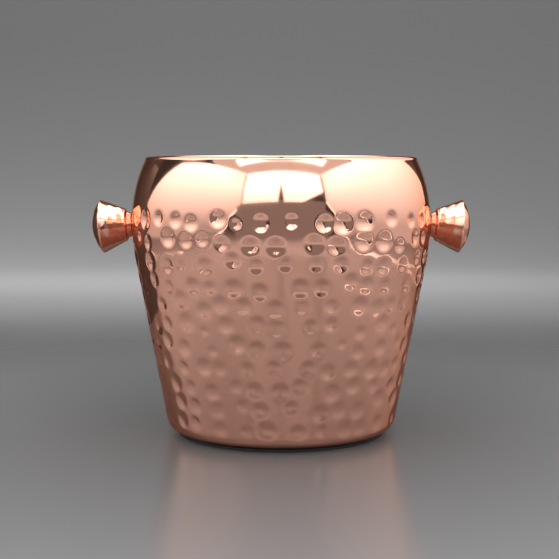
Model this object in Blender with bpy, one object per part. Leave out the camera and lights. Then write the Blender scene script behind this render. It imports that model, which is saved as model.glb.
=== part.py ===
"""Hammered copper-plated champagne bucket with two knob handles, double-walled.

A tapered outer shell with an in-curved shoulder is closed below by a base plate and
stands on a thin foot ring. A stainless liner hangs inside it from the rim. Two cast
knobs are each held by one screw, put in from inside before the liner.

Metres, +Z up. The origin is on the table at the centre of the base, and the knobs lie
along X, the left one at -X.
"""

from math import acos, asin, atan2, cos, hypot, pi, radians, sin

import bmesh
import bpy
from mathutils import Matrix, Vector

# Gap kept between pieces that touch on the real bucket.
GAP = 0.0003

# Outer shell: flat underside, corner arc, straight tapered wall, belly arc, shoulder arc, rim bead.
HEIGHT = 0.1924
BASE_LIFT = 0.0024
BASE_RADIUS = 0.0709
CORNER_RADIUS = 0.0095
WIDEST_RADIUS = 0.1038
WIDEST_HEIGHT = 0.1489
BELLY_RADIUS = 0.166
SHOULDER_RADIUS = 0.098
SHELL_THICKNESS = 0.001
RIM_BEAD_RADIUS = 0.0013
RIM_BEAD_CENTRE = 0.0932
BASE_OPENING_RADIUS = 0.058

# Base plate: a disc lapped on the shell's inturned flange, its middle pressed up.
PLATE_RADIUS = 0.0664
PLATE_THICKNESS = 0.001
PLATE_STEP_OUTER = 0.050
PLATE_STEP_INNER = 0.045
PLATE_STEP_HEIGHT = 0.002

# Foot ring.
FOOT_OUTER_RADIUS = 0.0722
FOOT_INNER_RADIUS = 0.0615
FOOT_CHAMFER = 0.0005

# Inner liner: a tapered cup whose collar stands inside the rim bead.
LINER_THICKNESS = 0.0008
LINER_TOP = 0.1908
LINER_TOP_RADIUS = RIM_BEAD_CENTRE - RIM_BEAD_RADIUS - GAP
LINER_COLLAR = 0.012
LINER_BOTTOM = 0.0165
LINER_BOTTOM_RADIUS = 0.0535
LINER_CORNER_RADIUS = 0.014

# Knobs, measured along each knob's own axis from the shell's outer surface.
KNOB_HEIGHT = 0.1459
KNOB_DROOP = radians(4.3)
KNOB_NECK_RADIUS = 0.0082
KNOB_NECK_LENGTH = 0.0008
KNOB_COVE_RADIUS = 0.0026
KNOB_CONE_START_RADIUS = 0.0114
KNOB_CONE_START = 0.0046
KNOB_CONE_END = 0.0212
KNOB_EDGE_RADIUS = 0.0185
KNOB_EDGE_ROUNDING = 0.0014
KNOB_LENGTH = 0.0282
KNOB_STANDOFF = 0.0005

# Knob fixing: a button-head screw, a spring washer and a plain washer inside the shell.
SCREW_RADIUS = 0.003
SCREW_TIP = 0.0155
SCREW_CHAMFER = 0.0006
SCREW_HEAD_RADIUS = 0.0058
SCREW_HEAD_HEIGHT = 0.0036
SCREW_SOCKET_RADIUS = 0.0023
SCREW_SOCKET_DEPTH = 0.002
KNOB_HOLE_DEPTH = 0.0168
CLEARANCE_HOLE_RADIUS = 0.0036
WASHER_FACE = -0.0022
WASHER_RADIUS = 0.0075
WASHER_THICKNESS = 0.0012
LOCK_WASHER_RADIUS = 0.0056
LOCK_WASHER_THICKNESS = 0.0014
LOCK_WASHER_SPLIT = radians(16)

# Segments round each kind of turned piece.
SHELL_SEGMENTS = 72
LINER_SEGMENTS = 64
KNOB_SEGMENTS = 32
FIXING_SEGMENTS = 20

SHARP_ANGLE = radians(35)


def make_material(name, colour, roughness, metallic):
    material = bpy.data.materials.new(name)
    material.use_nodes = True
    shader = material.node_tree.nodes["Principled BSDF"]
    shader.inputs["Base Color"].default_value = (*colour, 1.0)
    shader.inputs["Roughness"].default_value = roughness
    shader.inputs["Metallic"].default_value = metallic
    material.diffuse_color = (*colour, 1.0)
    return material


def arc(centre, radius, start, end, steps):
    """Points on an arc, its angles measured from the radial direction upwards."""
    return [
        (
            centre[0] + radius * cos(start + (end - start) * step / steps),
            centre[1] + radius * sin(start + (end - start) * step / steps),
        )
        for step in range(steps + 1)
    ]


def wall_taper():
    """The angle from vertical of the straight wall that touches both the belly and the corner arcs."""
    across = BASE_RADIUS - (WIDEST_RADIUS - BELLY_RADIUS)
    up = WIDEST_HEIGHT - (BASE_LIFT + CORNER_RADIUS)
    return atan2(up, across) - acos((BELLY_RADIUS - CORNER_RADIUS) / hypot(across, up))


def shell_side(inset, shoulder_steps, belly_steps, corner_steps):
    """The shell's side from the rim bead down to the flat underside, moved inwards by inset."""
    taper = wall_taper()
    top_angle = asin((HEIGHT - 2 * RIM_BEAD_RADIUS - WIDEST_HEIGHT) / SHOULDER_RADIUS)
    shoulder_centre = (WIDEST_RADIUS - SHOULDER_RADIUS, WIDEST_HEIGHT)
    belly_centre = (WIDEST_RADIUS - BELLY_RADIUS, WIDEST_HEIGHT)
    corner_centre = (BASE_RADIUS, BASE_LIFT + CORNER_RADIUS)
    shoulder = arc(shoulder_centre, SHOULDER_RADIUS - inset, top_angle, 0, shoulder_steps)
    belly = arc(belly_centre, BELLY_RADIUS - inset, 0, -taper, belly_steps)
    corner = arc(corner_centre, CORNER_RADIUS - inset, -taper, -pi / 2, corner_steps)
    return shoulder + belly[1:] + corner


def shell_outline():
    bead_centre = (RIM_BEAD_CENTRE, HEIGHT - RIM_BEAD_RADIUS)
    bead = arc(bead_centre, RIM_BEAD_RADIUS, radians(220), radians(-15), 8)
    outer = shell_side(0, 7, 4, 5)
    inner = shell_side(SHELL_THICKNESS, 5, 3, 4)
    flange = [(BASE_OPENING_RADIUS, BASE_LIFT), (BASE_OPENING_RADIUS, BASE_LIFT + SHELL_THICKNESS)]
    return bead + outer + flange + inner[::-1]


def liner_outline():
    """The liner's outer side from its top edge to the axis, then its inner side back up."""
    corner_centre = (LINER_BOTTOM_RADIUS, LINER_BOTTOM + LINER_CORNER_RADIUS)
    collar_foot = (LINER_TOP_RADIUS, LINER_TOP - LINER_COLLAR)
    across = collar_foot[0] - corner_centre[0]
    up = collar_foot[1] - corner_centre[1]
    taper = acos(LINER_CORNER_RADIUS / hypot(across, up)) - atan2(up, across)
    sides = []
    for inset in (0, LINER_THICKNESS):
        top = (LINER_TOP_RADIUS - inset, LINER_TOP)
        foot = (LINER_TOP_RADIUS - inset, collar_foot[1])
        corner = arc(corner_centre, LINER_CORNER_RADIUS - inset, -taper, -pi / 2, 5)
        sides.append([top, foot, *corner, (0, LINER_BOTTOM + inset)])
    return sides[0] + sides[1][::-1]


def plate_outline():
    bottom = BASE_LIFT + SHELL_THICKNESS + GAP
    raised = bottom + PLATE_STEP_HEIGHT
    under = [(PLATE_RADIUS, bottom), (PLATE_STEP_OUTER, bottom), (PLATE_STEP_INNER, raised), (0, raised)]
    over = [(radius, height + PLATE_THICKNESS) for radius, height in under]
    return under + over[::-1]


def foot_outline():
    top = BASE_LIFT - GAP
    return [
        (FOOT_OUTER_RADIUS, top),
        (FOOT_OUTER_RADIUS, FOOT_CHAMFER),
        (FOOT_OUTER_RADIUS - FOOT_CHAMFER, 0),
        (FOOT_INNER_RADIUS + FOOT_CHAMFER, 0),
        (FOOT_INNER_RADIUS, FOOT_CHAMFER),
        (FOOT_INNER_RADIUS, top),
    ]


def knob_outline():
    """(radius, distance along the axis) from the blind hole's end round to the middle of the domed end."""
    hole = SCREW_RADIUS + GAP
    cove_centre = (KNOB_NECK_RADIUS + KNOB_COVE_RADIUS, KNOB_STANDOFF + KNOB_NECK_LENGTH)
    cove = [
        (2 * cove_centre[0] - radius, along)
        for radius, along in arc(cove_centre, KNOB_COVE_RADIUS, 0, radians(60), 3)
    ]
    edge_centre = (KNOB_EDGE_RADIUS - KNOB_EDGE_ROUNDING, KNOB_CONE_END)
    edge = arc(edge_centre, KNOB_EDGE_ROUNDING, radians(-15), radians(50), 4)
    dome_foot = edge[-1]
    rise = KNOB_LENGTH - dome_foot[1]
    sphere = (dome_foot[0] ** 2 + rise**2) / (2 * rise)
    half_angle = asin(dome_foot[0] / sphere)
    dome = arc((0, KNOB_LENGTH - sphere), sphere, pi / 2 - half_angle, pi / 2, 6)
    return [
        (0, KNOB_HOLE_DEPTH + hole / 2),
        (hole, KNOB_HOLE_DEPTH),
        (hole, KNOB_STANDOFF),
        (KNOB_NECK_RADIUS, KNOB_STANDOFF),
        *cove,
        (KNOB_CONE_START_RADIUS, KNOB_CONE_START),
        *edge,
        *dome[1:-1],
        (0, KNOB_LENGTH),
    ]


def washer_outline():
    back = WASHER_FACE - WASHER_THICKNESS
    hole = SCREW_RADIUS + GAP
    return [(hole, WASHER_FACE), (WASHER_RADIUS, WASHER_FACE), (WASHER_RADIUS, back), (hole, back)]


def lock_washer_outline():
    face = WASHER_FACE - WASHER_THICKNESS - GAP
    back = face - LOCK_WASHER_THICKNESS
    hole = SCREW_RADIUS + GAP
    return [(hole, face), (LOCK_WASHER_RADIUS, face), (LOCK_WASHER_RADIUS, back), (hole, back)]


def screw_seat():
    """Where the screw head's flat face lies along the knob's axis."""
    return WASHER_FACE - WASHER_THICKNESS - LOCK_WASHER_THICKNESS - 2 * GAP


def screw_outline():
    seat = screw_seat()
    crown = seat - SCREW_HEAD_HEIGHT
    shoulder = seat - SCREW_HEAD_HEIGHT / 3
    return [
        (0, SCREW_TIP),
        (SCREW_RADIUS - SCREW_CHAMFER, SCREW_TIP),
        (SCREW_RADIUS, SCREW_TIP - SCREW_CHAMFER),
        (SCREW_RADIUS, seat),
        (SCREW_HEAD_RADIUS, seat),
        (SCREW_HEAD_RADIUS, shoulder),
        (SCREW_HEAD_RADIUS * cos(radians(25)), (shoulder + crown) / 2),
        (SCREW_HEAD_RADIUS * cos(radians(45)), crown),
        (0, crown),
    ]


def turned(name, outline, segments, material, sweep=2 * pi):
    """A body turned about Z from the closed outline through these (radius, height) points."""
    shape = bmesh.new()
    points = [shape.verts.new((radius, 0, height)) for radius, height in outline]
    if sweep < 2 * pi:
        profile = [shape.faces.new(points)]
        profile += list(shape.edges) + points
    else:
        pairs = zip(points, points[1:] + points[:1])
        off_axis = [pair for pair in pairs if any(point.co.x for point in pair)]
        profile = [shape.edges.new(pair) for pair in off_axis] + points
    bmesh.ops.spin(
        shape, geom=profile, cent=(0, 0, 0), axis=(0, 0, 1), angle=sweep, steps=segments,
        use_merge=sweep >= 2 * pi,
    )
    bmesh.ops.remove_doubles(shape, verts=shape.verts, dist=1e-7)
    bmesh.ops.recalc_face_normals(shape, faces=shape.faces)
    mesh = bpy.data.meshes.new(name)
    shape.to_mesh(mesh)
    shape.free()
    mesh.shade_smooth()
    mesh.set_sharp_from_angle(angle=SHARP_ANGLE)
    mesh.materials.append(material)
    piece = bpy.data.objects.new(name, mesh)
    bpy.context.scene.collection.objects.link(piece)
    return piece


def prism(name, radius, low, high, sides):
    """A helper prism along Z, used as a cutter and left out of renders."""
    shape = bmesh.new()
    bmesh.ops.create_cone(
        shape, cap_ends=True, segments=sides, radius1=radius, radius2=radius, depth=high - low,
        matrix=Matrix.Translation((0, 0, (low + high) / 2)),
    )
    mesh = bpy.data.meshes.new(name)
    shape.to_mesh(mesh)
    shape.free()
    cutter = bpy.data.objects.new(name, mesh)
    cutter.hide_render = True
    cutter.display_type = "WIRE"
    bpy.context.scene.collection.objects.link(cutter)
    return cutter


def cut(piece, cutter):
    boolean = piece.modifiers.new("cut_" + cutter.name, "BOOLEAN")
    boolean.operation = "DIFFERENCE"
    boolean.solver = "EXACT"
    boolean.object = cutter


def knob_axis(side):
    """A matrix that lays a piece turned about Z along a knob's axis, from the shell outwards and down."""
    drop = WIDEST_HEIGHT - KNOB_HEIGHT
    wall = WIDEST_RADIUS - BELLY_RADIUS + BELLY_RADIUS * cos(asin(drop / BELLY_RADIUS))
    outwards = Vector((side * cos(KNOB_DROOP), 0, -sin(KNOB_DROOP)))
    across = Vector((0, 1, 0))
    third = across.cross(outwards)
    turn = Matrix((third, across, outwards)).transposed().to_4x4()
    return Matrix.Translation((side * wall, 0, KNOB_HEIGHT)) @ turn


def make_bucket(copper, steel, rubber):
    shell = turned("outer_shell", shell_outline(), SHELL_SEGMENTS, copper)
    turned("inner_liner", liner_outline(), LINER_SEGMENTS, steel)
    turned("base_plate", plate_outline(), LINER_SEGMENTS, steel)
    turned("foot_ring", foot_outline(), LINER_SEGMENTS, rubber)
    return shell


def make_handle(side_name, side, shell, copper, steel):
    """One knob with its screw and washers, and the hole for it in the shell."""
    place = knob_axis(side)
    pieces = [
        turned(side_name + "_knob", knob_outline(), KNOB_SEGMENTS, copper),
        turned(side_name + "_screw", screw_outline(), FIXING_SEGMENTS, steel),
        turned(side_name + "_washer", washer_outline(), FIXING_SEGMENTS, steel),
        turned(
            side_name + "_lock_washer", lock_washer_outline(), FIXING_SEGMENTS, steel,
            sweep=2 * pi - LOCK_WASHER_SPLIT,
        ),
    ]
    crown = screw_seat() - SCREW_HEAD_HEIGHT
    socket = prism(
        side_name + "_socket_cutter", SCREW_SOCKET_RADIUS,
        crown - SCREW_SOCKET_DEPTH, crown + SCREW_SOCKET_DEPTH, sides=6,
    )
    hole = prism(
        side_name + "_hole_cutter", CLEARANCE_HOLE_RADIUS,
        -4 * SHELL_THICKNESS, 4 * SHELL_THICKNESS, sides=FIXING_SEGMENTS,
    )
    for piece in (*pieces, socket, hole):
        piece.matrix_world = place
    cut(pieces[1], socket)
    cut(shell, hole)


def main():
    for old in list(bpy.data.objects):
        bpy.data.objects.remove(old, do_unlink=True)
    copper = make_material("polished_copper_plate", (0.78, 0.42, 0.31), 0.14, 1.0)
    cast_copper = make_material("cast_copper_plate", (0.78, 0.42, 0.31), 0.2, 1.0)
    steel = make_material("stainless_steel", (0.62, 0.61, 0.6), 0.28, 1.0)
    zinc = make_material("zinc_plated_steel", (0.55, 0.56, 0.57), 0.35, 1.0)
    rubber = make_material("black_rubber", (0.02, 0.02, 0.02), 0.8, 0.0)
    shell = make_bucket(copper, steel, rubber)
    make_handle("left", -1, shell, cast_copper, zinc)
    make_handle("right", 1, shell, cast_copper, zinc)


main()
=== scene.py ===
"""Looks of the hammered copper champagne bucket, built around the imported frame.

The outer shell, liner, base plate, foot ring and knobs are fine meshes that stand for
their CAD nodes. The screws and washers are the CAD nodes with better materials.
Round pieces are outlines of (radius, height) points turned about Z.
Metres, +Z up, knobs along X, the viewer at -Y.
"""

from math import acos, asin, atan2, ceil, cos, hypot, pi, radians, sin

import bmesh
import bpy
import numpy as np
from mathutils import Matrix, Vector


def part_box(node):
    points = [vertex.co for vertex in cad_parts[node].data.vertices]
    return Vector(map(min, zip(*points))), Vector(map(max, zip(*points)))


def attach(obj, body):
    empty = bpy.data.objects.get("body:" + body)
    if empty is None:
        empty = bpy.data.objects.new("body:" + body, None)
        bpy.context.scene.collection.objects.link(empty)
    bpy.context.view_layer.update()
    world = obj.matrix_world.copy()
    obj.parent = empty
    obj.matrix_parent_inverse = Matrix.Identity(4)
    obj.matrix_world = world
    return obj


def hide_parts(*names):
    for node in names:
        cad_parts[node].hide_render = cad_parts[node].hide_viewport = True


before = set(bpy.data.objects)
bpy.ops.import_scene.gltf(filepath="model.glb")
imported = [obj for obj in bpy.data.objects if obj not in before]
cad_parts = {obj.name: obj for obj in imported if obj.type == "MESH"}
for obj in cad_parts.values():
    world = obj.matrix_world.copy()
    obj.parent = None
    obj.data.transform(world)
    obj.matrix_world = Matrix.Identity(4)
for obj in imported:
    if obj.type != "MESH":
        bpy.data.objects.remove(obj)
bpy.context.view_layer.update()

SEED = 41

# The shell's size comes from the frame, and the rest of its outline repeats the design.
shell_low, shell_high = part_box("outer_shell")
HEIGHT = shell_high.z
BASE_LIFT = shell_low.z
WIDEST_RADIUS = shell_high.x
BASE_RADIUS = 0.0709
CORNER_RADIUS = 0.0095
WIDEST_HEIGHT = 0.1489
BELLY_RADIUS = 0.166
SHOULDER_RADIUS = 0.098
SHELL_THICKNESS = 0.001
RIM_BEAD_RADIUS = 0.0013
RIM_BEAD_CENTRE = 0.0932
RIM_BEAD_START = radians(220)
RIM_BEAD_END = radians(-15)
BASE_OPENING_RADIUS = 0.058

# Dents in the shell: staggered rows between two heights, smooth metal above and below.
# The lips are shares of a dent's own radius. The sizes and depths are shares of DENT_RADIUS
# and DENT_DEPTH.
TOP_ROW_HEIGHT = 0.1512
BOTTOM_ROW_HEIGHT = 0.0155
DENT_WALL_TOP = WIDEST_HEIGHT + 0.03
ROW_SPACING = 0.0138
DENT_SPACING = 0.0172
DENT_RADIUS = 0.0066
DENT_DEPTH = 0.00140
DENT_SWAY = 0.0052
DENT_LIFT = 0.0038
END_ROW_LIFT = 0.45
DENT_CLEARANCE = 0.0122
DENT_LIP_START = 0.76
DENT_LIP_END = 1.10
DENT_SIZES = (0.74, 1.12)
DENT_DEPTHS = (0.85, 1.1)
SMALL_DENT_SHARE = 0.08
SMALL_DENT_SIZE = 0.65
KNOB_SEAT_RADIUS = 0.0090
SPREADING_ROUNDS = 14
SPREADING_PUSH = 0.4

# The lower dents are shallower. SOFT_FROM and SOFT_TO are shares of the way down the wall.
LOW_DENT_SOFTNESS = 0.40
SOFT_FROM = 0.12
SOFT_TO = 0.42

# Liner, base plate and foot ring.
LINER_THICKNESS = 0.0008
LINER_TOP = 0.1908
LINER_TOP_RADIUS = 0.0917
LINER_COLLAR = 0.012
LINER_BOTTOM = 0.0165
LINER_BOTTOM_RADIUS = 0.0535
LINER_CORNER_RADIUS = 0.014
LINER_GROOVE_RADIUS = 0.036
LINER_GROOVE_WIDTH = 0.0022
LINER_GROOVE_DEPTH = 0.0007
PLATE_RADIUS = 0.0664
PLATE_BOTTOM = 0.0037
PLATE_THICKNESS = 0.001
PLATE_STEP_OUTER = 0.050
PLATE_STEP_INNER = 0.045
PLATE_STEP_HEIGHT = 0.002
FOOT_OUTER_RADIUS = 0.0722
FOOT_INNER_RADIUS = 0.0615
FOOT_HEIGHT = 0.0021
FOOT_ROUNDING = 0.0006
FOOT_GROOVE_WIDTH = 0.0008
FOOT_GROOVE_DEPTH = 0.0005
SCREW_HOLE_RADIUS = 0.0036
SCREW_HOLE_REACH = 0.004

# Knobs, measured along each knob's axis from the shell's outer surface. The facets' reach,
# start, sway and lift are shares of KNOB_FACET or of the angle from one facet to the next.
KNOB_HEIGHT = 0.1459
KNOB_DROOP = radians(4.3)
KNOB_NECK_RADIUS = 0.0082
KNOB_NECK_LENGTH = 0.0008
KNOB_COVE_OUT = 0.0010
KNOB_COVE_RISE = 0.0021
KNOB_CONE_START_RADIUS = 0.0114
KNOB_CONE_START = 0.0046
KNOB_CONE_END = 0.0212
KNOB_EDGE_RADIUS = 0.0185
KNOB_EDGE_ROUNDING = 0.0014
KNOB_EDGE_START = radians(-15)
KNOB_EDGE_END = radians(50)
KNOB_LENGTH = 0.0282
KNOB_STANDOFF = 0.0005
KNOB_HOLE_RADIUS = 0.0033
KNOB_HOLE_DEPTH = 0.0168
KNOB_FACET = 0.0064
KNOB_FACET_DEPTH = 0.00022
KNOB_FACET_REACH = 0.72
KNOB_FACET_START = 0.35
KNOB_FACET_SWAY = 0.18
KNOB_FACET_LIFT = 0.12
KNOB_FACET_FADE = 0.0015
KNOB_FACET_LEAST_RADIUS = 0.001

# Camera: a short telephoto view from just below the rim's height, tilted a little downwards.
CAMERA_DISTANCE = 0.841
CAMERA_HEIGHT = 0.1785
CAMERA_PITCH = radians(4.86)
CAMERA_YAW = radians(0.078)
CAMERA_LENS = 77.3

# Mesh spacing.
SHELL_COLUMNS = 450
FINE_STEP = 0.00125
COARSE_STEP = 0.006
TURNED_COLUMNS = 192
KNOB_COLUMNS = 144
KNOB_STEP = 0.0004
FLOOR_COLUMNS = 96
WELD_DISTANCE = 1e-7

# A rounded corner takes up at most this share of each side next to it.
CORNER_SHARE = 0.45

# Linear colours.
COPPER = (0.93, 0.49, 0.365)
COPPER_EDGE = (0.95, 0.60, 0.48)
STEEL = (0.62, 0.61, 0.60)
ZINC = (0.55, 0.56, 0.58)
# The foot ring's black: rubber, and also painted shade standing in for the dark shadow line under the
# base.
RUBBER_AND_SHADE_BLACK = (0.012, 0.012, 0.012)
# Painted shade: the floor's darker colour round the bucket's foot, a painted contact shadow.
FLOOR_PAINTED_SHADE = (0.15, 0.15, 0.152)
FLOOR_FAR = (0.22, 0.22, 0.223)
FLAG_COLOUR = (0.13, 0.13, 0.13)
WORLD_COLOUR = (0.24, 0.24, 0.244)

# Looks. Noise values lie mostly within NOISE_SPAN. The reliefs are depths of bump in metres.
NOISE_SPAN = (0.3, 0.7)
SHELL_ROUGHNESS = (0.055, 0.10)
KNOB_ROUGHNESS = (0.10, 0.17)
LINER_ROUGHNESS = (0.16, 0.30)
ZINC_ROUGHNESS = (0.25, 0.42)
RUBBER_ROUGHNESS = (0.55, 0.85)
POLISH_RELIEF = 0.0000012
PEEL_RELIEF = 0.0000010
RING_RELIEF = 0.000006
RUBBER_RELIEF = 0.00004
FLOOR_RELIEF = 0.00002

# Tent: two side walls and a parted front curtain, with lamps and a ceiling overhead. It is set
# out at the distance where its walls would meet the floor, then pushed outwards from EYE.
# x of a side wall is given at y = 0 and at the front. Its top falls from the curtain's top to
# a middle and a back (y, z), and its foot rises from lift_y to front_z at the front.
EYE = Vector((0.0, 0.0, 0.155))
TENT_SCALE = 2.2
LEFT_WALL = {
    "x": (-0.570, -0.500), "middle": (0.04, 0.50), "back": (0.33, 0.22),
    "lift_y": -0.47, "front_z": 0.37,
}
RIGHT_WALL = {
    "x": (0.480, 0.590), "middle": (0.24, 0.40), "back": (0.60, 0.21),
    "lift_y": -0.45, "front_z": 0.42,
}
FRONT_Y = -0.90
SEAM = 0.012
TENT_TOP = 0.90
CURTAIN_BOTTOM = 0.33
CURTAIN_BEND = 0.42
CURTAIN_DRAPE = 0.58
PARTING_TIP = 0.69
PARTING_HALF_WIDTH = 0.045
ROOM_HALF_WIDTH = 0.62
ROOM_Y = -0.98
ROOM_TOP = 0.46
LAMP_HEIGHT = 1.0
LAMPS = (
    ("front_lamp", (-0.6, 0.6), (-0.77, -0.35)),
    ("left_lamp", (-0.6, -0.13), (-0.35, 1.0)),
    ("right_lamp", (0.13, 0.6), (-0.35, 1.0)),
)
CEILING_HEIGHT = 1.35
CEILING_X = (-1.3, 1.3)
CEILING_Y = (-1.5, 1.2)

# The tent's light: the cloth brightens upwards and backwards, and a bright hem edges its foot.
WALL_HEIGHTS = (0.10, 1.18)
WALL_LIGHT = (0.58, 3.1)
WALL_FRONT_TO_BACK = (0.60, 1.15)
CURTAIN_FRONT_TO_BACK = (0.95, 0.95)
HEM = 0.028
HEM_LIFT = 0.001
HEM_INSET = 0.003
HEM_LIGHT = 2.6
LAMP_LIGHT = 3.0
CEILING_LIGHT = 0.8
ROOM_LIGHT = 0.26

# Dark upright flags behind the bucket, at their real places, from one (x, y) to another.
FLAG_HEIGHT = 0.45
FLAGS = (
    ("left_flag", (-0.36, 0.124), (-0.28, 0.32)),
    ("left_back_flag", (-0.28, 0.32), (-0.36, 0.66)),
    ("right_flag", (0.38, 0.38), (0.37, 0.68)),
)

# Fill lights for the floor and backdrop: name, place, aim, size and watts.
FILLS = (
    ("top_fill", (0.0, -0.1, 1.3), (0.0, -0.1, 0.0), (1.3, 1.3), 4.5),
    ("floor_fill", (0.0, -0.66, 0.30), (0.0, -0.66, 0.0), (1.0, 0.30), 4.6),
    ("left_fill", (-0.44, -0.22, 0.30), (-0.44, -0.22, 0.0), (0.30, 0.8), 2.4),
    ("right_fill", (0.44, -0.22, 0.30), (0.44, -0.22, 0.0), (0.30, 0.8), 2.4),
    ("backdrop_fill", (0.0, 1.0, 1.2), (0.0, 2.3, 0.6), (2.4, 0.4), 17.0),
    ("horizon_fill", (-0.45, 1.20, 0.50), (-0.45, 1.20, 0.0), (2.0, 0.3), 8.5),
)

# Floor and backdrop, one turned surface. Its colour and roughness change with the distance
# from the bucket's foot. The darker colour near the foot is painted shade, a painted contact shadow.
FLOOR_RINGS = (0.0, 0.4, 0.9, 1.6)
FLOOR_RADIUS = 2.6
FLOOR_CENTRE = (0.0, -1.1, 0.0)
COVE_RADIUS = 1.0
COVE_TOP = 4.0
# The painted shadow round the bucket's foot fades out between these two distances.
FLOOR_SHADE_FADE = (0.09, 0.34)
MATT_FADE = (0.45, 1.0)
FLOOR_ROUGHNESS = (0.22, 0.9)
FLOOR_IOR = 1.4


# ---------------------------------------------------------------- outlines

def arc(centre, radius, start, end, steps):
    """Points on an arc, its angles measured from the radial direction upwards."""
    turn = (end - start) / steps
    return [
        (centre[0] + radius * cos(start + turn * i), centre[1] + radius * sin(start + turn * i))
        for i in range(steps + 1)
    ]


def lengths_along(line):
    """The distance of each point of a polyline from its start, measured along it."""
    return np.concatenate([[0.0], np.cumsum(np.hypot(*np.diff(line, axis=0).T))])


def spaced(points, step):
    """Points at about one spacing along a polyline, its two ends included."""
    line = np.array(points)
    along = lengths_along(line)
    count = max(1, ceil(along[-1] / step))
    places = np.linspace(0.0, along[-1], count + 1)
    return [(np.interp(s, along, line[:, 0]), np.interp(s, along, line[:, 1])) for s in places]


def wall_taper():
    """The angle that the shell's straight wall leans outwards by."""
    across = BASE_RADIUS - (WIDEST_RADIUS - BELLY_RADIUS)
    up = WIDEST_HEIGHT - (BASE_LIFT + CORNER_RADIUS)
    return atan2(up, across) - acos((BELLY_RADIUS - CORNER_RADIUS) / hypot(across, up))


def shell_side(inset):
    """The shell's wall from under the rim bead down to its flat underside, inset inwards."""
    taper = wall_taper()
    rise = HEIGHT - 2 * RIM_BEAD_RADIUS - WIDEST_HEIGHT
    shoulder = (WIDEST_RADIUS - SHOULDER_RADIUS, WIDEST_HEIGHT)
    belly = (WIDEST_RADIUS - BELLY_RADIUS, WIDEST_HEIGHT)
    corner = (BASE_RADIUS, BASE_LIFT + CORNER_RADIUS)
    side = arc(shoulder, SHOULDER_RADIUS - inset, asin(rise / SHOULDER_RADIUS), 0.0, 48)
    side += arc(belly, BELLY_RADIUS - inset, 0.0, -taper, 48)[1:]
    side += arc(corner, CORNER_RADIUS - inset, -taper, -pi / 2, 24)
    return side


def knob_outline():
    """(radius, distance along the axis) round a knob: bore, neck, cove, cone, edge and dome."""
    start = KNOB_STANDOFF
    neck = (KNOB_NECK_RADIUS, start + KNOB_NECK_LENGTH)
    edge_centre = (KNOB_EDGE_RADIUS - KNOB_EDGE_ROUNDING, KNOB_CONE_END)
    edge = arc(edge_centre, KNOB_EDGE_ROUNDING, KNOB_EDGE_START, KNOB_EDGE_END, 10)
    rise = KNOB_LENGTH - edge[-1][1]
    dome_radius = (edge[-1][0] ** 2 + rise ** 2) / (2 * rise)
    dome_centre = (0.0, KNOB_LENGTH - dome_radius)
    dome_start = atan2(edge[-1][1] - dome_centre[1], edge[-1][0])
    bore = [(0.0, KNOB_HOLE_DEPTH), (KNOB_HOLE_RADIUS, KNOB_HOLE_DEPTH), (KNOB_HOLE_RADIUS, start)]
    cove_end = (KNOB_CONE_START_RADIUS, KNOB_CONE_START)
    cove_bend = (neck[0] + KNOB_COVE_OUT, neck[1] + KNOB_COVE_RISE)
    cove = spaced([neck, cove_bend, cove_end], KNOB_STEP)
    cone = spaced([cove_end, edge[0]], KNOB_STEP)
    dome = spaced(arc(dome_centre, dome_radius, dome_start, pi / 2, 40), KNOB_STEP)
    return bore + [(KNOB_NECK_RADIUS, start)] + cove + cone[1:] + edge[1:] + dome[1:]


def rounded(corners, radius, closed=True, steps=6):
    """A polyline with its corners drawn into short curves. An open line keeps its two ends."""
    points = [np.array(corner) for corner in corners]
    last = len(points) - 1
    line = []
    for i, corner in enumerate(points):
        if not closed and i in (0, last):
            line.append(corner)
            continue
        before = points[i - 1] - corner
        after = points[(i + 1) % len(points)] - corner
        reach = min(radius, CORNER_SHARE * np.hypot(*before), CORNER_SHARE * np.hypot(*after))
        start = corner + before / np.hypot(*before) * reach
        end = corner + after / np.hypot(*after) * reach
        for t in np.linspace(0.0, 1.0, steps + 1):
            line.append((1 - t) ** 2 * start + 2 * t * (1 - t) * corner + t ** 2 * end)
    return line


def liner_outline():
    """From the middle of the liner's underside up to its rolled edge, and down inside to its middle."""
    centre = (LINER_BOTTOM_RADIUS, LINER_BOTTOM + LINER_CORNER_RADIUS)
    foot = (LINER_TOP_RADIUS, LINER_TOP - LINER_COLLAR)
    across, up = foot[0] - centre[0], foot[1] - centre[1]
    taper = acos(LINER_CORNER_RADIUS / hypot(across, up)) - atan2(up, across)
    sides = []
    for inset in (0.0, LINER_THICKNESS):
        floor = LINER_BOTTOM + inset
        groove = floor - LINER_GROOVE_DEPTH
        near = LINER_GROOVE_RADIUS - LINER_GROOVE_WIDTH
        far = LINER_GROOVE_RADIUS + LINER_GROOVE_WIDTH
        bottom = [(0.0, floor), (near, floor), (LINER_GROOVE_RADIUS, groove), (far, floor)]
        corner = arc(centre, LINER_CORNER_RADIUS - inset, -pi / 2, -taper, 24)
        collar = [(LINER_TOP_RADIUS - inset, foot[1]), (LINER_TOP_RADIUS - inset, LINER_TOP)]
        side = rounded(bottom + corner[:1], LINER_GROOVE_WIDTH, closed=False) + corner[1:-1]
        side += rounded([corner[-1], *collar], LINER_GROOVE_WIDTH, closed=False)
        sides.append(side)
    edge_centre = (LINER_TOP_RADIUS - LINER_THICKNESS / 2, LINER_TOP)
    edge = arc(edge_centre, LINER_THICKNESS / 2, 0.0, pi, 8)
    return sides[0][:-1] + edge + sides[1][-2::-1]


def plate_outline():
    """A flat disc with its middle pressed upwards."""
    raised = PLATE_BOTTOM + PLATE_STEP_HEIGHT
    under = [(0.0, raised), (PLATE_STEP_INNER, raised), (PLATE_STEP_OUTER, PLATE_BOTTOM)]
    under += [(PLATE_RADIUS, PLATE_BOTTOM)]
    over = [(radius, height + PLATE_THICKNESS) for radius, height in under]
    return rounded(under + over[::-1], PLATE_STEP_HEIGHT, closed=False)


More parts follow.
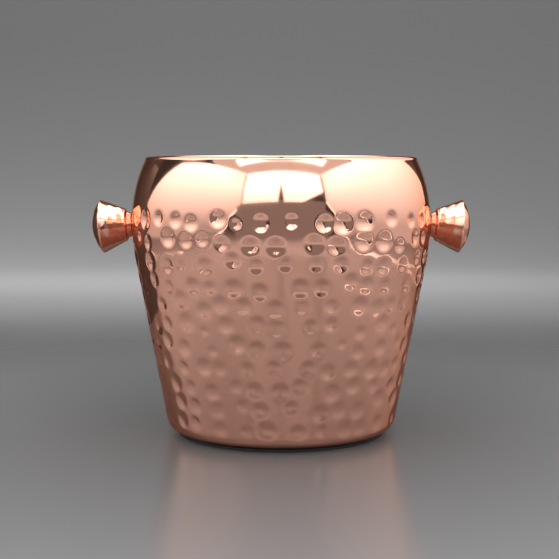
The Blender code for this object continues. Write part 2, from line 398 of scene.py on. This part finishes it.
def foot_outline():
    """A rounded rubber ring with one groove moulded round its tread."""
    middle = (FOOT_OUTER_RADIUS + FOOT_INNER_RADIUS) / 2
    corners = [(FOOT_INNER_RADIUS, FOOT_HEIGHT), (FOOT_INNER_RADIUS, 0.0)]
    corners += [(middle - FOOT_GROOVE_WIDTH, 0.0), (middle, FOOT_GROOVE_DEPTH)]
    corners += [(middle + FOOT_GROOVE_WIDTH, 0.0)]
    corners += [(FOOT_OUTER_RADIUS, 0.0), (FOOT_OUTER_RADIUS, FOOT_HEIGHT)]
    return rounded(corners, FOOT_ROUNDING)


# ---------------------------------------------------------------- meshes

def outward_normals(line):
    """Unit normals to the left of travel, which is outwards on a line that runs downwards."""
    slope = np.gradient(line, axis=0)
    normals = np.stack([-slope[:, 1], slope[:, 0]], axis=1)
    return normals / np.linalg.norm(normals, axis=1)[:, None]


def grid_object(name, points, closed_rows):
    """A mesh from points[row, column], closed round its columns, and round its rows if asked."""
    rows, columns, _ = points.shape
    index = np.arange(rows * columns).reshape(rows, columns)
    lower = np.roll(index, -1, axis=0)
    if not closed_rows:
        index, lower = index[:-1], lower[:-1]
    faces = np.stack([index, lower, np.roll(lower, -1, axis=1), np.roll(index, -1, axis=1)], axis=-1)
    mesh = bpy.data.meshes.new(name)
    mesh.from_pydata(points.reshape(-1, 3).tolist(), [], faces.reshape(-1, 4).tolist())
    work = bmesh.new()
    work.from_mesh(mesh)
    bmesh.ops.remove_doubles(work, verts=work.verts, dist=WELD_DISTANCE)
    bmesh.ops.recalc_face_normals(work, faces=work.faces)
    work.to_mesh(mesh)
    work.free()
    mesh.shade_smooth()
    piece = bpy.data.objects.new(name, mesh)
    bpy.context.scene.collection.objects.link(piece)
    return piece


def turned_grid(line, columns, depth=None, normals=None):
    """points[row, column] of a line turned about Z, each moved inwards by its depth."""
    angles = np.arange(columns) * 2 * pi / columns - pi / 2
    radius = np.repeat(line[:, :1], columns, axis=1)
    height = np.repeat(line[:, 1:], columns, axis=1)
    if depth is not None:
        radius = radius - depth * normals[:, :1]
        height = height - depth * normals[:, 1:]
    return np.stack([radius * np.cos(angles), radius * np.sin(angles), height], axis=-1)


# ---------------------------------------------------------------- hammering

def dent_places(line, along, rng):
    """Centres, radii and depths of the shell's dents, in rows shaken out of line."""
    wall = line[:, 1] <= DENT_WALL_TOP
    top, bottom, knob = (
        np.interp(-height, -line[wall, 1], along[wall])
        for height in (TOP_ROW_HEIGHT, BOTTOM_ROW_HEIGHT, KNOB_HEIGHT)
    )
    rows = round((bottom - top) / ROW_SPACING)
    dents = []
    for row in range(rows + 1):
        place = top + (bottom - top) * row / rows
        radius = np.interp(place, along, line[:, 0])
        count = round(2 * pi * radius / DENT_SPACING)
        end_row = row in (0, rows)
        for i in range(count):
            sway, lift = rng.uniform(-1, 1, 2) * (DENT_SWAY, DENT_LIFT)
            if end_row:
                lift *= END_ROW_LIFT
            angle = (i + 0.5 * (row % 2)) * 2 * pi / count + sway / radius
            dents.append((angle, place + lift, end_row))
    angles, places, ends = (np.array(values) for values in zip(*dents))
    spread_out(angles, places, ends, along, line[:, 0])
    share = np.clip((places - top) / (bottom - top), 0.0, 1.0)
    small = rng.uniform(size=len(places)) < SMALL_DENT_SHARE
    blows = rng.uniform(*DENT_SIZES, len(places)) * np.where(small, SMALL_DENT_SIZE, 1.0)
    sizes = DENT_RADIUS * blows
    depths = DENT_DEPTH * blows * rng.uniform(*DENT_DEPTHS, len(places))
    softened = np.clip((share - SOFT_FROM) / (SOFT_TO - SOFT_FROM), 0.0, 1.0)
    depths *= 1.0 - LOW_DENT_SOFTNESS * softened
    turn = np.minimum(np.abs(wrapped(angles)), np.abs(wrapped(angles - pi)))
    from_knob = np.hypot(turn * WIDEST_RADIUS, places - knob)
    kept = from_knob > sizes + KNOB_SEAT_RADIUS
    return list(zip(angles[kept], places[kept], sizes[kept], depths[kept]))


def wrapped(angle):
    """The same angle between minus and plus half a turn."""
    return (angle + pi) % (2 * pi) - pi


def spread_out(angles, places, ends, along, radii):
    """Pushes apart dents that are closer than the clearance. The two end rows keep their height."""
    for _ in range(SPREADING_ROUNDS):
        radius = np.interp(places, along, radii)
        across = wrapped(angles[None, :] - angles[:, None]) * radius[:, None]
        down = places[None, :] - places[:, None]
        distance = np.hypot(across, down)
        np.fill_diagonal(distance, 1.0)
        push = np.clip(DENT_CLEARANCE - distance, 0.0, None) / distance * SPREADING_PUSH
        angles -= (push * across).sum(axis=1) / radius
        places -= np.where(ends, 0.0, (push * down).sum(axis=1))


def bowl(distance):
    """A dent 1 deep at its centre: a spherical floor, then a rounded lip out to the plain metal."""
    steepest = 2.0 / DENT_LIP_END
    floor = 1.0 - steepest * distance ** 2 / (2 * DENT_LIP_START)
    left = np.clip(DENT_LIP_END - distance, 0.0, None)
    lip = steepest * left ** 2 / (2 * (DENT_LIP_END - DENT_LIP_START))
    return np.where(distance < DENT_LIP_START, floor, lip)


def dent_depths(line, along, columns, dents):
    """depth[row, column] of the hammered surface below the smooth one."""
    angles = np.arange(columns) * 2 * pi / columns - pi / 2
    cubes = np.zeros((len(line), columns))
    for angle, place, size, deepest in dents:
        near = np.nonzero(np.abs(along - place) < DENT_LIP_END * size)[0]
        across = line[near, :1] * wrapped(angles - angle)[None, :]
        distance = np.hypot(across, (along[near] - place)[:, None]) / size
        cubes[near] += (deepest * bowl(distance)) ** 3
    return np.cbrt(cubes)


def facet_depths(line, along, columns, first, rng):
    """depth[row, column] of planished facets that meet in soft ridges, from row first on."""
    angles = np.arange(columns) * 2 * pi / columns - pi / 2
    seeds = []
    start = along[first]
    rows = round((along[-1] - start) / KNOB_FACET)
    for row in range(rows + 1):
        place = start + (row + KNOB_FACET_START) * KNOB_FACET
        radius = max(np.interp(place, along, line[:, 0]), KNOB_FACET_LEAST_RADIUS)
        count = max(1, round(2 * pi * radius / KNOB_FACET))
        for i in range(count):
            sway = rng.uniform(-KNOB_FACET_SWAY, KNOB_FACET_SWAY)
            lift = rng.uniform(-KNOB_FACET_LIFT, KNOB_FACET_LIFT)
            angle = (i + 0.5 * (row % 2) + sway) * 2 * pi / count
            seeds.append((angle, place + lift * KNOB_FACET))
    depth = np.zeros((len(line), columns))
    reach = KNOB_FACET_REACH * KNOB_FACET
    for angle, place in seeds:
        across = line[first:, :1] * wrapped(angles - angle)[None, :]
        distance = np.hypot(across, (along[first:] - place)[:, None]) / reach
        facet = KNOB_FACET_DEPTH * np.clip(1.0 - distance ** 2, 0.0, 1.0)
        depth[first:] = np.maximum(depth[first:], facet)
    fade = np.clip((along - along[first]) / KNOB_FACET_FADE, 0.0, 1.0)
    fade[:first] = 0.0
    return depth * fade[:, None]


# ---------------------------------------------------------------- materials

def shader_material(name, colour, metallic, edge=(1.0, 1.0, 1.0)):
    """A new Principled material, with its node tree and its shader."""
    material = bpy.data.materials.new(name)
    material.use_nodes = True
    shader = material.node_tree.nodes["Principled BSDF"]
    shader.inputs["Base Color"].default_value = (*colour, 1.0)
    shader.inputs["Metallic"].default_value = metallic
    shader.inputs["Specular Tint"].default_value = (*edge, 1.0)
    material.diffuse_color = (*colour, 1.0)
    return material, material.node_tree, shader


def noise(tree, scale, detail, stretch=None):
    """A noise texture in object space, stretched per axis if asked."""
    place = tree.nodes.new("ShaderNodeTexCoord")
    texture = tree.nodes.new("ShaderNodeTexNoise")
    texture.inputs["Scale"].default_value = scale
    texture.inputs["Detail"].default_value = detail
    source = place.outputs["Object"]
    if stretch is not None:
        mapping = tree.nodes.new("ShaderNodeMapping")
        mapping.inputs["Scale"].default_value = stretch
        tree.links.new(source, mapping.inputs["Vector"])
        source = mapping.outputs["Vector"]
    tree.links.new(source, texture.inputs["Vector"])
    return texture


def map_range(tree, source, span, values):
    """Maps source from one span of values onto another, without going past its ends."""
    node = tree.nodes.new("ShaderNodeMapRange")
    node.inputs["From Min"].default_value = span[0]
    node.inputs["From Max"].default_value = span[1]
    node.inputs["To Min"].default_value = values[0]
    node.inputs["To Max"].default_value = values[1]
    tree.links.new(source, node.inputs["Value"])
    return node.outputs["Result"]


def bump(tree, source, distance, before=None):
    """A normal roughened by source, on top of the normal before it if there is one."""
    node = tree.nodes.new("ShaderNodeBump")
    node.inputs["Strength"].default_value = 1.0
    node.inputs["Distance"].default_value = distance
    tree.links.new(source, node.inputs["Height"])
    if before is not None:
        tree.links.new(before, node.inputs["Normal"])
    return node.outputs["Normal"]


def blended(tree, shader, source, near, far):
    """Blends the base colour from near to far as source goes from 0 to 1."""
    mix = tree.nodes.new("ShaderNodeMix")
    mix.data_type = "RGBA"
    # The Mix node's colour sockets are its inputs 6 and 7 and its output 2.
    mix.inputs[6].default_value = (*near, 1.0)
    mix.inputs[7].default_value = (*far, 1.0)
    tree.links.new(source, mix.inputs[0])
    tree.links.new(mix.outputs[2], shader.inputs["Base Color"])


def tinted(tree, shader, colour, source, spread):
    """Varies the base colour by a few percent, following source."""
    darker = [c * (1 - spread) for c in colour]
    lighter = [min(1.0, c * (1 + spread)) for c in colour]
    blended(tree, shader, source, darker, lighter)


def gloss(tree, shader, source, values):
    """Varies the roughness between two values, following a noise."""
    tree.links.new(map_range(tree, source, NOISE_SPAN, values), shader.inputs["Roughness"])


def copper_material(name, roughness, polish_lines):
    """Polished copper plate: faint spun polishing lines, clouded gloss and slight tint drift."""
    material, tree, shader = shader_material(name, COPPER, 1.0, COPPER_EDGE)
    clouds = noise(tree, scale=38.0, detail=3.0)
    gloss(tree, shader, clouds.outputs["Fac"], roughness)
    drift = noise(tree, scale=14.0, detail=2.0)
    tinted(tree, shader, COPPER, drift.outputs["Fac"], spread=0.035)
    lines = noise(tree, scale=60.0, detail=4.0, stretch=(0.6, 0.6, polish_lines))
    peel = noise(tree, scale=900.0, detail=1.0)
    normal = bump(tree, lines.outputs["Fac"], POLISH_RELIEF)
    normal = bump(tree, peel.outputs["Fac"], PEEL_RELIEF, normal)
    tree.links.new(normal, shader.inputs["Normal"])
    return material


def brushed_material(name, colour, roughness, ring_scale):
    """Spun steel: fine rings about Z in both gloss and relief, with faint stains."""
    material, tree, shader = shader_material(name, colour, 1.0)
    place = tree.nodes.new("ShaderNodeTexCoord")
    split = tree.nodes.new("ShaderNodeSeparateXYZ")
    flat = tree.nodes.new("ShaderNodeCombineXYZ")
    distance = tree.nodes.new("ShaderNodeVectorMath")
    distance.operation = "LENGTH"
    rings_at = tree.nodes.new("ShaderNodeCombineXYZ")
    rings = tree.nodes.new("ShaderNodeTexNoise")
    rings.inputs["Scale"].default_value = ring_scale
    rings.inputs["Detail"].default_value = 4.0
    tree.links.new(place.outputs["Object"], split.inputs["Vector"])
    tree.links.new(split.outputs["X"], flat.inputs["X"])
    tree.links.new(split.outputs["Y"], flat.inputs["Y"])
    tree.links.new(flat.outputs["Vector"], distance.inputs[0])
    tree.links.new(distance.outputs["Value"], rings_at.inputs["X"])
    tree.links.new(split.outputs["Z"], rings_at.inputs["Z"])
    tree.links.new(rings_at.outputs["Vector"], rings.inputs["Vector"])
    gloss(tree, shader, rings.outputs["Fac"], roughness)
    stains = noise(tree, scale=25.0, detail=4.0)
    tinted(tree, shader, colour, stains.outputs["Fac"], spread=0.06)
    tree.links.new(bump(tree, rings.outputs["Fac"], RING_RELIEF), shader.inputs["Normal"])
    return material


def rubber_and_shade_material():
    """Matt black rubber with a fine grain and a little dust. Its black is also painted shade,
    standing in for the dark shadow line under the bucket's base.
    """
    material, tree, shader = shader_material("black_rubber_and_shade_look", RUBBER_AND_SHADE_BLACK, 0.0)
    grain = noise(tree, scale=1600.0, detail=3.0)
    dust = noise(tree, scale=60.0, detail=4.0)
    gloss(tree, shader, dust.outputs["Fac"], RUBBER_ROUGHNESS)
    tinted(tree, shader, RUBBER_AND_SHADE_BLACK, dust.outputs["Fac"], spread=0.3)
    tree.links.new(bump(tree, grain.outputs["Fac"], RUBBER_RELIEF), shader.inputs["Normal"])
    return material


# ---------------------------------------------------------------- pieces

def finished(piece, material, node):
    """Gives a piece its material, and hands it to the frame in place of its CAD node."""
    piece.data.materials.append(material)
    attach(piece, "root")
    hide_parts(node)
    return piece


def make_turned(name, outline, closed, material, node):
    """A plain round piece, with no hammering."""
    points = turned_grid(np.array(outline), TURNED_COLUMNS)
    return finished(grid_object(name, points, closed), material, node)


def drill_screw_holes(piece):
    """Cuts the knob screws' holes through the shell's wall."""
    for side in (-1, 1):
        shape = bmesh.new()
        bmesh.ops.create_cone(
            shape, cap_ends=True, segments=48, radius1=SCREW_HOLE_RADIUS, radius2=SCREW_HOLE_RADIUS,
            depth=2 * SCREW_HOLE_REACH, matrix=knob_frame(side),
        )
        mesh = bpy.data.meshes.new("screw_hole")
        shape.to_mesh(mesh)
        shape.free()
        cutter = bpy.data.objects.new("screw_hole", mesh)
        bpy.context.scene.collection.objects.link(cutter)
        cut = piece.modifiers.new("screw_hole", "BOOLEAN")
        cut.operation = "DIFFERENCE"
        cut.solver = "EXACT"
        cut.object = cutter
        drilled = piece.evaluated_get(bpy.context.evaluated_depsgraph_get())
        mesh = bpy.data.meshes.new_from_object(drilled)
        piece.modifiers.remove(cut)
        piece.data = mesh
        bpy.data.objects.remove(cutter, do_unlink=True)


def make_shell(material):
    """The outer shell: hammered sheet of one thickness, open inside its flange and its rim bead."""
    bead_centre = (RIM_BEAD_CENTRE, HEIGHT - RIM_BEAD_RADIUS)
    bead = arc(bead_centre, RIM_BEAD_RADIUS, RIM_BEAD_START, RIM_BEAD_END, 18)
    outer = bead + spaced(shell_side(0.0), FINE_STEP)
    outer += [(BASE_OPENING_RADIUS, BASE_LIFT)]
    inner = [(BASE_OPENING_RADIUS, BASE_LIFT + SHELL_THICKNESS)]
    inner += spaced(shell_side(SHELL_THICKNESS), COARSE_STEP)[::-1]
    line = np.array(outer)
    along = lengths_along(line)
    rng = np.random.default_rng(SEED)
    dents = dent_places(line, along, rng)
    depth = dent_depths(line, along, SHELL_COLUMNS, dents)
    outer_points = turned_grid(line, SHELL_COLUMNS, depth, outward_normals(line))
    inner_line = np.array(inner)
    inner_along = np.interp(-inner_line[:, 1], -line[len(bead):, 1], along[len(bead):])
    inner_depth = dent_depths(inner_line, inner_along, SHELL_COLUMNS, dents)
    inner_depth[inner_line[:, 1] < BASE_LIFT + CORNER_RADIUS] = 0.0
    inner_normals = -outward_normals(inner_line)
    inner_points = turned_grid(inner_line, SHELL_COLUMNS, inner_depth, inner_normals)
    points = np.concatenate([outer_points, inner_points])
    shell = grid_object("hammered_shell", points, True)
    drill_screw_holes(shell)
    return finished(shell, material, "outer_shell")


def knob_frame(side):
    """Places a knob's own +Z along its axis, out from the shell's wall."""
    lift = KNOB_HEIGHT - WIDEST_HEIGHT
    wall = WIDEST_RADIUS - BELLY_RADIUS + (BELLY_RADIUS ** 2 - lift ** 2) ** 0.5
    outwards = Vector((side * cos(KNOB_DROOP), 0.0, -sin(KNOB_DROOP)))
    across = Vector((0.0, 1.0, 0.0))
    third = across.cross(outwards)
    turn = Matrix((third, across, outwards)).transposed().to_4x4()
    return Matrix.Translation((side * wall, 0.0, KNOB_HEIGHT)) @ turn


def make_knob(name, node, side, material):
    """A planished knob, its outline turned about its own axis and then set on the shell."""
    line = np.array(knob_outline())
    along = lengths_along(line)
    first = int(np.argmax((line[:, 1] >= KNOB_CONE_START) & (line[:, 0] > KNOB_NECK_RADIUS)))
    rng = np.random.default_rng(SEED + (1 if side > 0 else 2))
    depth = facet_depths(line, along, KNOB_COLUMNS, first, rng)
    normals = -outward_normals(line)
    line[0, 0] = line[-1, 0] = 0.0
    piece = grid_object(name, turned_grid(line, KNOB_COLUMNS, depth, normals), False)
    piece.data.transform(knob_frame(side))
    piece.data.update()
    return finished(piece, material, node)


# ---------------------------------------------------------------- studio

def emission(name, strength):
    """A material that only glows."""
    material = bpy.data.materials.new(name)
    material.use_nodes = True
    tree = material.node_tree
    tree.nodes.clear()
    out = tree.nodes.new("ShaderNodeOutputMaterial")
    light = tree.nodes.new("ShaderNodeEmission")
    light.inputs["Strength"].default_value = strength
    tree.links.new(light.outputs["Emission"], out.inputs["Surface"])
    return material


def tent_light(name, front_to_back):
    """White cloth lit from outside: brighter towards the top, and from front to back as given."""
    material = emission(name, 1.0)
    tree = material.node_tree
    place = tree.nodes.new("ShaderNodeTexCoord")
    split = tree.nodes.new("ShaderNodeSeparateXYZ")
    both = tree.nodes.new("ShaderNodeMath")
    both.operation = "MULTIPLY"
    tree.links.new(place.outputs["Object"], split.inputs["Vector"])
    upwards = map_range(tree, split.outputs["Z"], WALL_HEIGHTS, WALL_LIGHT)
    backwards = map_range(tree, split.outputs["Y"], (TENT_SCALE * FRONT_Y, 0.0), front_to_back)
    tree.links.new(upwards, both.inputs[0])
    tree.links.new(backwards, both.inputs[1])
    tree.links.new(both.outputs["Value"], tree.nodes["Emission"].inputs["Strength"])
    return material


def panel(name, corners, material):
    """A flat panel that shows only in reflections, and casts no light or shadow."""
    mesh = bpy.data.meshes.new(name)
    mesh.from_pydata(corners, [], [tuple(range(len(corners)))])
    mesh.materials.append(material)
    piece = bpy.data.objects.new(name, mesh)
    piece.visible_camera = False
    piece.visible_diffuse = False
    piece.visible_shadow = False
    bpy.context.scene.collection.objects.link(piece)


def pushed_out(corner):
    """A corner of the tent moved away from EYE by TENT_SCALE, or as far as the floor allows."""
    offset = Vector(corner) - EYE
    scale = TENT_SCALE
    if offset.z < 0:
        scale = min(scale, EYE.z / -offset.z)
    return tuple(EYE + offset * scale)


def tent_panel(name, corners, material):
    panel(name, [pushed_out(corner) for corner in corners], material)


def level_panel(name, span_x, span_y, height, material):
    corners = [(span_x[0], span_y[0], height), (span_x[1], span_y[0], height)]
    corners += [(span_x[1], span_y[1], height), (span_x[0], span_y[1], height)]
    tent_panel(name, corners, material)


def side_wall(name, wall, cloth, hem):
    """A side wall, the apron that runs from the table's edge to it, and the bright hem at its foot."""
    middle_x, front_x = wall["x"]

    def at(y, z, inwards=0.0):
        x = middle_x + (front_x - middle_x) * y / FRONT_Y
        return (x - inwards * (1 if x > 0 else -1), y, z)

    back_y = wall["back"][0]
    lift_y, front_z = wall["lift_y"], wall["front_z"]
    front = FRONT_Y + SEAM
    foot_z = EYE.z * (1 - 1 / TENT_SCALE)
    lifted = lift_y + (front - lift_y) * foot_z / front_z
    wall_foot = [at(back_y, foot_z), at(lifted, foot_z)]
    top = [at(front, front_z), at(front, TENT_TOP), at(*wall["middle"]), at(*wall["back"])]
    tent_panel(name, wall_foot + top, cloth)
    apron = [at(back_y, 0.0), at(lift_y, 0.0)]
    tent_panel(name + "_apron", apron + wall_foot[::-1], cloth)
    foot = [(back_y, HEM_LIFT), (lift_y, HEM_LIFT), (lifted, foot_z), (front, front_z + HEM_LIFT)]
    low = [at(y, z, HEM_INSET) for y, z in foot]
    high = [
        at(back_y, HEM, HEM_INSET), at(lift_y, HEM, HEM_INSET),
        at(lifted, foot_z + HEM, HEM_INSET), at(front, front_z + HEM, HEM_INSET),
    ]
    for i, part in enumerate(("_hem", "_edge", "_front_edge")):
        tent_panel(name + part, [low[i], low[i + 1], high[i + 1], high[i]], hem)


def make_curtain(cloth):
    """The front curtain: two halves that part at the middle, the right one draped upwards."""
    left = LEFT_WALL["x"][1] + SEAM
    right = RIGHT_WALL["x"][1] - 2 * SEAM
    tip = [(0.0, FRONT_Y, PARTING_TIP), (0.0, FRONT_Y, TENT_TOP)]
    foot = [(left, FRONT_Y, CURTAIN_BOTTOM), (-PARTING_HALF_WIDTH, FRONT_Y, CURTAIN_BOTTOM)]
    tent_panel("left_curtain", foot + tip + [(left, FRONT_Y, TENT_TOP)], cloth)
    foot = [(PARTING_HALF_WIDTH, FRONT_Y, CURTAIN_BOTTOM), (right / 2, FRONT_Y, CURTAIN_BEND)]
    foot += [(right, FRONT_Y, CURTAIN_DRAPE), (right, FRONT_Y, TENT_TOP)]
    tent_panel("right_curtain", foot + tip[::-1], cloth)


def make_tent():
    """The tent that the polished metal reflects."""
    cloth = tent_light("tent_light", WALL_FRONT_TO_BACK)
    hem = emission("hem_light", HEM_LIGHT)
    side_wall("left_wall", LEFT_WALL, cloth, hem)
    side_wall("right_wall", RIGHT_WALL, cloth, hem)
    make_curtain(tent_light("curtain_light", CURTAIN_FRONT_TO_BACK))
    room = [(-ROOM_HALF_WIDTH, ROOM_Y, 0.0), (ROOM_HALF_WIDTH, ROOM_Y, 0.0)]
    room += [(ROOM_HALF_WIDTH, ROOM_Y, ROOM_TOP), (-ROOM_HALF_WIDTH, ROOM_Y, ROOM_TOP)]
    tent_panel("room", room, emission("room_light", ROOM_LIGHT))
    lamp = emission("lamp_light", LAMP_LIGHT)
    for name, span_x, span_y in LAMPS:
        level_panel(name, span_x, span_y, LAMP_HEIGHT, lamp)
    ceiling = emission("ceiling_light", CEILING_LIGHT)
    level_panel("ceiling", CEILING_X, CEILING_Y, CEILING_HEIGHT, ceiling)
    flag = shader_material("flag_cloth", FLAG_COLOUR, 0.0)[0]
    for name, near, far in FLAGS:
        corners = [(*near, 0.0), (*near, FLAG_HEIGHT), (*far, FLAG_HEIGHT), (*far, 0.0)]
        panel(name, corners, flag)


def fill_light(name, place, aim, size, power):
    """A soft light on the floor and backdrop that doesn't show in the polished metal."""
    data = bpy.data.lights.new(name, "AREA")
    data.shape = "RECTANGLE"
    data.size, data.size_y = size
    data.energy = power
    lamp = bpy.data.objects.new(name, data)
    lamp.location = place
    lamp.rotation_euler = (Vector(aim) - Vector(place)).to_track_quat("-Z", "Y").to_euler()
    lamp.visible_glossy = False
    lamp.visible_camera = False
    bpy.context.scene.collection.objects.link(lamp)


def make_floor():
    """A pale satin floor, darkened a little round the bucket by a painted shadow, that curves up into a
    matt backdrop.
    """
    material, tree, shader = shader_material("floor", FLOOR_FAR, 0.0)
    place = tree.nodes.new("ShaderNodeNewGeometry")
    length = tree.nodes.new("ShaderNodeVectorMath")
    length.operation = "LENGTH"
    tree.links.new(place.outputs["Position"], length.inputs[0])
    distance = length.outputs["Value"]
    # Painted shade: the floor's colour darkens towards the bucket's foot, a painted contact shadow.
    blended(tree, shader, map_range(tree, distance, FLOOR_SHADE_FADE, (0.0, 1.0)), FLOOR_PAINTED_SHADE, FLOOR_FAR)
    roughness = map_range(tree, distance, MATT_FADE, FLOOR_ROUGHNESS)
    tree.links.new(roughness, shader.inputs["Roughness"])
    grain = noise(tree, scale=700.0, detail=2.0)
    tree.links.new(bump(tree, grain.outputs["Fac"], FLOOR_RELIEF), shader.inputs["Normal"])
    shader.inputs["IOR"].default_value = FLOOR_IOR
    line = [(ring, 0.0) for ring in FLOOR_RINGS]
    line += arc((FLOOR_RADIUS, COVE_RADIUS), COVE_RADIUS, -pi / 2, 0.0, 24)
    line += [(FLOOR_RADIUS + COVE_RADIUS, COVE_TOP)]
    floor = grid_object("floor", turned_grid(np.array(line), FLOOR_COLUMNS), False)
    floor.location = FLOOR_CENTRE
    floor.data.materials.append(material)


def make_studio():
    make_tent()
    for fill in FILLS:
        fill_light(*fill)
    make_floor()
    world = bpy.data.worlds.new("studio")
    world.use_nodes = True
    world.node_tree.nodes["Background"].inputs["Color"].default_value = (*WORLD_COLOUR, 1.0)
    bpy.context.scene.world = world


def make_camera():
    data = bpy.data.cameras.new("camera")
    data.sensor_width = 36.0
    data.lens = CAMERA_LENS
    camera = bpy.data.objects.new("camera", data)
    camera.location = (0.0, -CAMERA_DISTANCE, CAMERA_HEIGHT)
    camera.rotation_euler = (pi / 2 - CAMERA_PITCH, 0.0, CAMERA_YAW)
    bpy.context.scene.collection.objects.link(camera)
    bpy.context.scene.camera = camera


# ---------------------------------------------------------------- the bucket and its studio

shell_copper = copper_material("hammered_copper_look", SHELL_ROUGHNESS, polish_lines=40.0)
knob_copper = copper_material("cast_copper_look", KNOB_ROUGHNESS, polish_lines=1.0)
liner_steel = brushed_material("spun_steel_look", STEEL, LINER_ROUGHNESS, ring_scale=900.0)
zinc = brushed_material("zinc_look", ZINC, ZINC_ROUGHNESS, ring_scale=2500.0)
rubber_and_shade = rubber_and_shade_material()

make_shell(shell_copper)
make_knob("left_hammered_knob", "left_knob", -1, knob_copper)
make_knob("right_hammered_knob", "right_knob", 1, knob_copper)

make_turned("spun_liner", liner_outline(), False, liner_steel, "inner_liner")
make_turned("pressed_base", plate_outline(), False, liner_steel, "base_plate")
# The foot ring's black also stands in for the dark shadow line under the base: painted shade.
make_turned("moulded_foot", foot_outline(), True, rubber_and_shade, "foot_ring")

for side in ("left", "right"):
    for part in ("screw", "washer", "lock_washer"):
        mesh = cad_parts[f"{side}_{part}"].data
        mesh.materials.clear()
        mesh.materials.append(zinc)

make_studio()
make_camera()
bpy.context.scene.view_settings.view_transform = "Standard"
